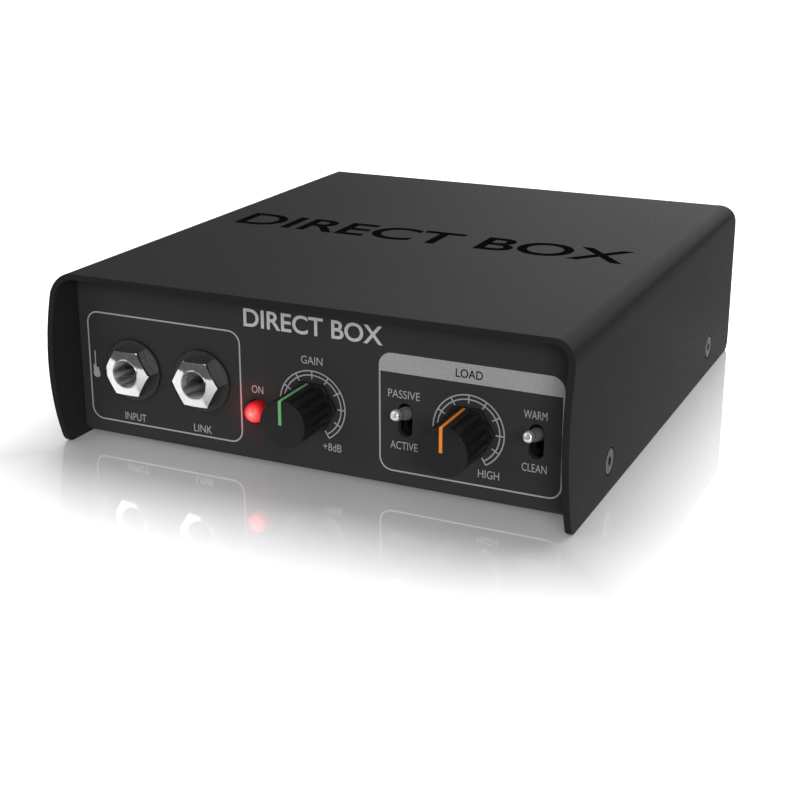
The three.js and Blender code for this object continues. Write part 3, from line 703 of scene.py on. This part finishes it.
def lamp():
    dome = [(LENS_RADIUS * math.sin(t), LAMP.y - LENS_RADIUS * math.cos(t)) for t in quarter_turn(15)]
    profile = [*dome, (LENS_RADIUS, PANEL + 3), (1e-3, PANEL + 3)]
    add("lamp_dome", turned(profile, LAMP, 64), LENS, replaces=["power_lamp"])


# --- Rear panel -------------------------------------------------------------------------------------


def output_connector():
    barrel_radius = 11.7
    lip_radius = 10.6
    hole_radius = 9.4
    screw_hole = 3.0
    head_radius = 2.8
    low, high = cad_box("output_shell")
    flange = prism(rounded_rectangle((low.x, low.z), (high.x, high.z), 2.5), "y", high.y - 1.8, high.y)
    barrel = turned([(barrel_radius, low.y), (barrel_radius, high.y - 1.5)], OUTPUT, 96)
    lip = turned([(lip_radius, high.y - 1.0), (lip_radius, high.y + 0.7)], OUTPUT, 96)
    holes = [turned([(hole_radius, low.y - 5), (hole_radius, high.y + 5)], OUTPUT, 96)]
    for place in ("upper", "lower"):
        screw = cad_middle(f"output_screw_{place}")
        holes.append(turned([(screw_hole, high.y - 0.5), (screw_hole, high.y + 5)], screw, 48))
    shell = carved(joined(flange, barrel, lip), *holes)
    add("output_flange", soften(shell, 0.2, 3), SATIN_METAL, replaces=["output_shell"])
    for place in ("upper", "lower"):
        node = f"output_screw_{place}"
        screw = cad_middle(node)
        head = turned([(head_radius, high.y - 0.6), (head_radius, high.y - 0.03)], screw, 48)
        cross = [prism(outline, "y", high.y - 0.35, high.y + 2) for outline in cross_outlines(screw)]
        add(f"{node}_head", soften(carved(head, *cross), 0.1, 2), SCREW_STEEL, replaces=[node])


def cross_outlines(middle, reach=1.5, half=0.28):
    bars = []
    for a, b in ((reach, half), (half, reach)):
        bars.append([
            (middle.x - a, middle.z - b), (middle.x + a, middle.z - b),
            (middle.x + a, middle.z + b), (middle.x - a, middle.z + b),
        ])
    return bars


def lift_switch():
    low, high = cad_box("lift_switch_slider")
    outline = rounded_rectangle((low.x, low.z), (high.x, high.z), 0.3, 4)
    slider = prism(outline, "y", low.y, high.y)
    pitch = 0.62
    half = 0.14
    bottom = high.y - 0.35
    over = high.y + 1
    grooves = []
    for step in range(-2, 3):
        x = (low.x + high.x) / 2 + step * pitch
        groove = [(x - half, bottom), (x + half, bottom), (x + half, over), (x - half, over)]
        grooves.append(prism(groove, "z", low.z - 1, high.z + 1))
    add("lift_slider_cap", soften(carved(slider, *grooves), 0.06, 2), PLASTIC,
        "lift_slider", ["lift_switch_slider"])


# --- Printing ---------------------------------------------------------------------------------------


def flat_faces(outlines, y):
    """Thin filled shapes on the front panel, each a list of (x, z) points."""
    bm = bmesh.new()
    for outline in outlines:
        bm.faces.new([bm.verts.new((x, y, z)) for x, z in outline])
    return bm


def band(outer, inner, closed):
    """Quads between two lines of equal length."""
    quads = []
    for i in range(len(outer) if closed else len(outer) - 1):
        j = (i + 1) % len(outer)
        quads.append([outer[i], outer[j], inner[j], inner[i]])
    return quads


def frame_line(low, high, radius, width):
    outer = rounded_rectangle(low, high, radius)
    inner_low = (low[0] + width, low[1] + width)
    inner_high = (high[0] - width, high[1] - width)
    return band(outer, rounded_rectangle(inner_low, inner_high, radius - width), True)


def tick(middle, turn, inner, outer, width):
    along = Vector((math.cos(math.radians(turn)), math.sin(math.radians(turn))))
    across = Vector((-along.y, along.x)) * width / 2
    points = [middle + along * inner - across, middle + along * outer - across,
              middle + along * outer + across, middle + along * inner + across]
    return [tuple(point) for point in points]


DIAL_ARCS = (6.975, 7.93)
DIAL_LINE = 0.29


def dial_middle(axis):
    return Vector((axis.x - 0.05, axis.z - 0.09))


def dial_arcs(axis):
    middle = dial_middle(axis)
    lines = []
    for radius in DIAL_ARCS:
        outer = arc(radius + DIAL_LINE / 2, -60, 240, 60, *middle)
        inner = arc(radius - DIAL_LINE / 2, -60, 240, 60, *middle)
        lines += band(outer, inner, False)
    return lines


def dial_ticks(axis):
    turns = range(-60, 241, 30)
    return [tick(dial_middle(axis), turn, 6.05, DIAL_ARCS[1], DIAL_LINE) for turn in turns]


def guitar(x, foot):
    """The outline of a small guitar standing on a point: a waisted body, a neck and a head."""
    stretch = 1.085
    outline = [
        (-0.13, 5.1), (-0.15, 2.57), (-0.4, 2.95), (-0.6, 3.0), (-0.62, 2.3), (-0.6, 1.6), (-0.74, 1.0),
        (-0.68, 0.55), (-0.4, 0.22), (0.0, 0.05), (0.4, 0.04), (0.78, 0.18), (1.08, 0.5), (1.18, 0.95),
        (1.05, 1.35), (0.88, 1.7), (0.86, 2.1), (0.9, 2.5), (0.54, 2.2), (0.18, 2.5), (0.13, 5.1),
        (0.2, 5.45), (0.12, 5.9), (0.0, 6.05), (-0.12, 5.8),
    ]
    return [(x + a, foot + b * stretch) for a, b in outline]


def lettering(name, text, middle, height, width, look, bold=0.0, turn=None):
    """Plain capitals of a given height and width about a middle point, on a plane turned from the floor's."""
    curve = bpy.data.curves.new(name, "FONT")
    curve.body = text
    curve.offset = bold
    curve.resolution_u = 5
    source = bpy.data.objects.new("scratch", curve)
    bpy.context.scene.collection.objects.link(source)
    depsgraph = bpy.context.evaluated_depsgraph_get()
    bm = bmesh.new()
    bm.from_mesh(source.evaluated_get(depsgraph).to_mesh())
    bpy.data.objects.remove(source)
    xs = [v.co.x for v in bm.verts]
    ys = [v.co.y for v in bm.verts]
    centre = Vector(((min(xs) + max(xs)) / 2, (min(ys) + max(ys)) / 2, 0))
    bmesh.ops.translate(bm, vec=-centre, verts=bm.verts)
    bmesh.ops.scale(bm, vec=(width / (max(xs) - min(xs)), height / (max(ys) - min(ys)), 1), verts=bm.verts)
    if turn:
        bmesh.ops.rotate(bm, cent=(0, 0, 0), matrix=turn, verts=bm.verts)
    bmesh.ops.translate(bm, vec=middle, verts=bm.verts)
    add(f"print_{name}", bm, look)


def front_text(name, text, x, z, height, width, look, bold=0.0, lift=PRINT):
    upright = Matrix.Rotation(math.radians(90), 3, "X")
    lettering(name, text, Vector((x, PANEL - lift, z)), height, width, look, bold, upright)


def rear_text(name, text, x, z, height, width):
    upright = Matrix.Rotation(math.radians(180), 3, "Z") @ Matrix.Rotation(math.radians(90), 3, "X")
    lettering(name, text, Vector((x, REAR_PANEL + PRINT, z)), height, width, LINE_GREY, 0.0, upright)


def front_printing():
    corner = 3.0
    line_width = 0.36
    right_edge = 57.7
    header_left = 16.6
    header_top = 31.06
    header_foot = 26.84
    left = frame_line((-58.1, 4.6), (-17.2, 30.9), corner, line_width)
    right = frame_line((header_left, 4.55), (right_edge, header_top), corner, line_width)
    lines = left + right + dial_arcs(GAIN) + dial_arcs(TONE)
    add("print_lines", flat_faces(lines, PANEL - PRINT), LINE_GREY)
    add("print_ticks", flat_faces(dial_ticks(GAIN) + dial_ticks(TONE), PANEL - PRINT * 1.3), LINE_GREY)
    add("print_guitar", flat_faces([guitar(-56.45, 14.75)], PANEL - PRINT), LINE_GREY)
    whole = rounded_rectangle((header_left, 20.0), (right_edge, header_top), corner)
    header = [point for point in whole if point[1] > header_foot]
    header += [(header_left, header_foot), (right_edge, header_foot)]
    add("print_header", flat_faces([header], PANEL - PRINT * 1.3), BAND_GREY)
    front_text("title", "DIRECT BOX", 0.7, 34.4, 4.2, 33.6, TITLE_GREY, 0.016)
    front_text("section", "LOAD", 37.1, 28.85, 1.9, 6.0, BAND_DARK, 0.008, PRINT * 2)
    small = 1.8
    # Each label: its piece's name, its words, its x and z, and its width.
    labels = [
        ("input", "INPUT", JACKS["input"].x - 0.4, 6.5, 5.8),
        ("link", "LINK", JACKS["link"].x - 0.4, 6.5, 4.8),
        ("on", "ON", LAMP.x, 18.1, 2.9),
        ("gain", "GAIN", GAIN.x, 26.7, 5.2),
        ("gain_most", "+8dB", GAIN.x + 4.7, 7.5, 4.5),
        ("tone_most", "HIGH", TONE.x + 4.6, 7.5, 4.7),
        ("load_up", "PASSIVE", LOAD.x - 0.3, 22.2, 7.3),
        ("load_down", "ACTIVE", LOAD.x - 0.3, 10.7, 6.3),
        ("voice_up", "WARM", VOICE.x - 0.3, 22.2, 5.0),
        ("voice_down", "CLEAN", VOICE.x - 0.3, 10.7, 5.4),
    ]
    for name, text, x, z, width in labels:
        front_text(name, text, x, z, small, width, LINE_GREY)


def top_printing():
    lettering("top", "DIRECT BOX", Vector((0.75, 2.05, TOP + PRINT * 0.8)), 12.5, 103.5, GLOSS_BLACK, 0.016)


def rear_printing():
    rear_text("output", "OUTPUT", OUTPUT.x + 21, 33.0, 2.0, 8.0)
    rear_text("lift", "GROUND LIFT", cad_middle("lift_switch_body").x, 19.5, 1.8, 13.0)


# --- The object -------------------------------------------------------------------------------------


def finish_cad_nodes():
    for subpart in frame["record"]["subparts"]:
        mesh = frame["nodes"][subpart["node"]].data
        mesh.materials.clear()
        mesh.materials.append(SLOT_LOOKS[subpart["material_slot"]].material)


finish_cad_nodes()
cover()
screw_heads()
pads()
for jack_name, jack_middle in JACKS.items():
    jack(jack_name, jack_middle)
knob("gain", GAIN, GREEN)
knob("tone", TONE, ORANGE)
lever("load")
lever("voice")
lamp()
output_connector()
lift_switch()
front_printing()
top_printing()
rear_printing()


# --- Studio -----------------------------------------------------------------------------------------


def floor():
    """A white sheet, polished around the object so that it mirrors it, and matt further out.

    It doesn't light the object by diffuse bounce: the world's lower half stands in for that.
    """
    reach = 6.0
    mirror_reach = 0.095
    mirror_share = 0.53
    falloff = 3.2
    mesh = bpy.data.meshes.new("floor")
    corners = [(-reach, -reach, 0), (reach, -reach, 0), (reach, reach, 0), (-reach, reach, 0)]
    mesh.from_pydata(corners, [], [(0, 1, 2, 3)])
    look = Look("floor_white", roughness=0.5)
    look.set("Base Color", (0.9, 0.9, 0.9, 1))
    look.set("Emission Color", (1, 1, 1, 1))
    look.set("Emission Strength", 0.2)
    gloss = look.node("ShaderNodeBsdfGlossy")
    gloss.inputs["Roughness"].default_value = 0.03
    gloss.inputs["Color"].default_value = (1, 1, 1, 1)
    split = look.node("ShaderNodeSeparateXYZ")
    look.join(look.place, split.inputs["Vector"])
    outside = []
    for axis, half in (("X", HALF_WIDTH), ("Y", COVER_HIGH.y)):
        size = look.node("ShaderNodeMath", operation="ABSOLUTE")
        look.join(split.outputs[axis], size.inputs[0])
        beyond = look.node("ShaderNodeMath", operation="SUBTRACT", use_clamp=False)
        look.join(size.outputs[0], beyond.inputs[0])
        beyond.inputs[1].default_value = half * MM
        positive = look.node("ShaderNodeMath", operation="MAXIMUM")
        look.join(beyond.outputs[0], positive.inputs[0])
        positive.inputs[1].default_value = 0
        outside.append(positive.outputs[0])
    distance = look.node("ShaderNodeMath", operation="MAXIMUM")
    look.join(outside[0], distance.inputs[0])
    look.join(outside[1], distance.inputs[1])
    fade = look.node("ShaderNodeMapRange")
    fade.inputs["From Max"].default_value = mirror_reach
    fade.inputs["To Min"].default_value = 1.0
    fade.inputs["To Max"].default_value = 0.0
    look.join(distance.outputs[0], fade.inputs["Value"])
    curve = look.node("ShaderNodeMath", operation="POWER")
    curve.inputs[1].default_value = falloff
    look.join(fade.outputs["Result"], curve.inputs[0])
    share = look.node("ShaderNodeMath", operation="MULTIPLY")
    share.inputs[1].default_value = mirror_share
    look.join(curve.outputs[0], share.inputs[0])
    mix = look.node("ShaderNodeMixShader")
    look.join(share.outputs[0], mix.inputs["Fac"])
    look.join(look.shader.outputs["BSDF"], mix.inputs[1])
    look.join(gloss.outputs["BSDF"], mix.inputs[2])
    look.join(mix.outputs["Shader"], look.tree.nodes["Material Output"].inputs["Surface"])
    mesh.materials.append(look.material)
    plane = bpy.data.objects.new("floor", mesh)
    plane.visible_diffuse = False
    bpy.context.scene.collection.objects.link(plane)


def dark_card():
    """A grey card just over the floor in front of the object, hidden from the camera, for reflections."""
    near = COVER_LOW.y * MM - 0.078
    far = near - 2
    side = 2
    height = 0.001
    mesh = bpy.data.meshes.new("card")
    corners = [(-side, far, height), (side, far, height), (side, near, height), (-side, near, height)]
    mesh.from_pydata(corners, [], [(0, 1, 2, 3)])
    look = Look("card_grey", roughness=1.0, specular=0.0)
    look.set("Base Color", (0.02, 0.02, 0.02, 1))
    look.set("Emission Color", (1, 1, 1, 1))
    look.set("Emission Strength", 0.14)
    mesh.materials.append(look.material)
    card = bpy.data.objects.new("card", mesh)
    card.visible_camera = False
    card.visible_diffuse = False
    card.visible_shadow = False
    bpy.context.scene.collection.objects.link(card)


def softbox(name, place, side, power):
    """A square area light aimed at the origin."""
    light = bpy.data.lights.new(name, "AREA")
    light.shape = "RECTANGLE"
    light.size = side
    light.size_y = side
    light.energy = power
    lamp_object = bpy.data.objects.new(name, light)
    lamp_object.location = place
    aim = -Vector(place)
    lamp_object.rotation_euler = aim.to_track_quat("-Z", "Y").to_euler()
    bpy.context.scene.collection.objects.link(lamp_object)


def studio():
    softbox("key", (-0.9, 0.3, 1.1), 1.3, 8)
    softbox("overhead", (0.2, -0.3, 1.5), 2.0, 6)
    softbox("front_right", (0.8, -1.15, 0.5), 0.6, 10)
    softbox("front_left", (-0.9, -0.9, 0.6), 0.8, 4)
    glow = bpy.data.lights.new("lamp_glow", "SPOT")
    glow.energy = 0.004
    glow.color = (1, 0.02, 0.02)
    glow.spot_size = math.radians(150)
    glow.spot_blend = 1.0
    glow.shadow_soft_size = 0.8 * MM
    glow_object = bpy.data.objects.new("lamp_glow", glow)
    glow_object.location = (LAMP + Vector((-0.5, -3.2, 0))) * MM
    glow_object.rotation_euler = (math.radians(90), 0, 0)
    bpy.context.scene.collection.objects.link(glow_object)


def surroundings():
    """Bright high behind the object, dim elsewhere above, and lit below in place of the floor."""
    world = bpy.data.worlds.new("surroundings")
    world.use_nodes = True
    tree = world.node_tree
    place = tree.nodes.new("ShaderNodeTexCoord").outputs["Generated"]

    def lobe(direction, low, high, least, most):
        facing = tree.nodes.new("ShaderNodeVectorMath")
        facing.operation = "DOT_PRODUCT"
        facing.inputs[1].default_value = direction
        tree.links.new(place, facing.inputs[0])
        spread = tree.nodes.new("ShaderNodeMapRange")
        spread.interpolation_type = "SMOOTHSTEP"
        spread.inputs["From Min"].default_value = low
        spread.inputs["From Max"].default_value = high
        spread.inputs["To Min"].default_value = least
        spread.inputs["To Max"].default_value = most
        tree.links.new(facing.outputs["Value"], spread.inputs["Value"])
        return spread.outputs["Result"]

    def plus(one, other):
        total = tree.nodes.new("ShaderNodeMath")
        total.operation = "ADD"
        tree.links.new(one, total.inputs[0])
        tree.links.new(other, total.inputs[1])
        return total.outputs[0]

    sky = lobe((0, 0, 1), 0.0, 0.64, 0.14, 0.25)
    behind = lobe((0.07, 0.74, 0.67), 0.745, 0.88, 0.0, 2.9)
    bounce = lobe((0, 0, -1), 0.0, 0.2, 0.0, 0.6)
    background = tree.nodes["Background"]
    tree.links.new(plus(plus(sky, behind), bounce), background.inputs["Color"])
    bpy.context.scene.world = world


def camera():
    data = bpy.data.cameras.new("camera")
    data.sensor_width = 36
    data.lens = 65.35
    data.shift_x = 0.0049
    data.shift_y = -0.0773
    data.clip_start = 0.01
    data.clip_end = 30
    view = bpy.data.objects.new("camera", data)
    view.location = (0.1426, -0.3183, 0.1245)
    view.rotation_euler = (math.radians(90 - 17.41), math.radians(0.07), math.radians(25.10))
    bpy.context.scene.collection.objects.link(view)
    bpy.context.scene.camera = view


floor()
dark_card()
studio()
surroundings()
camera()
bpy.context.scene.view_settings.view_transform = "Standard"
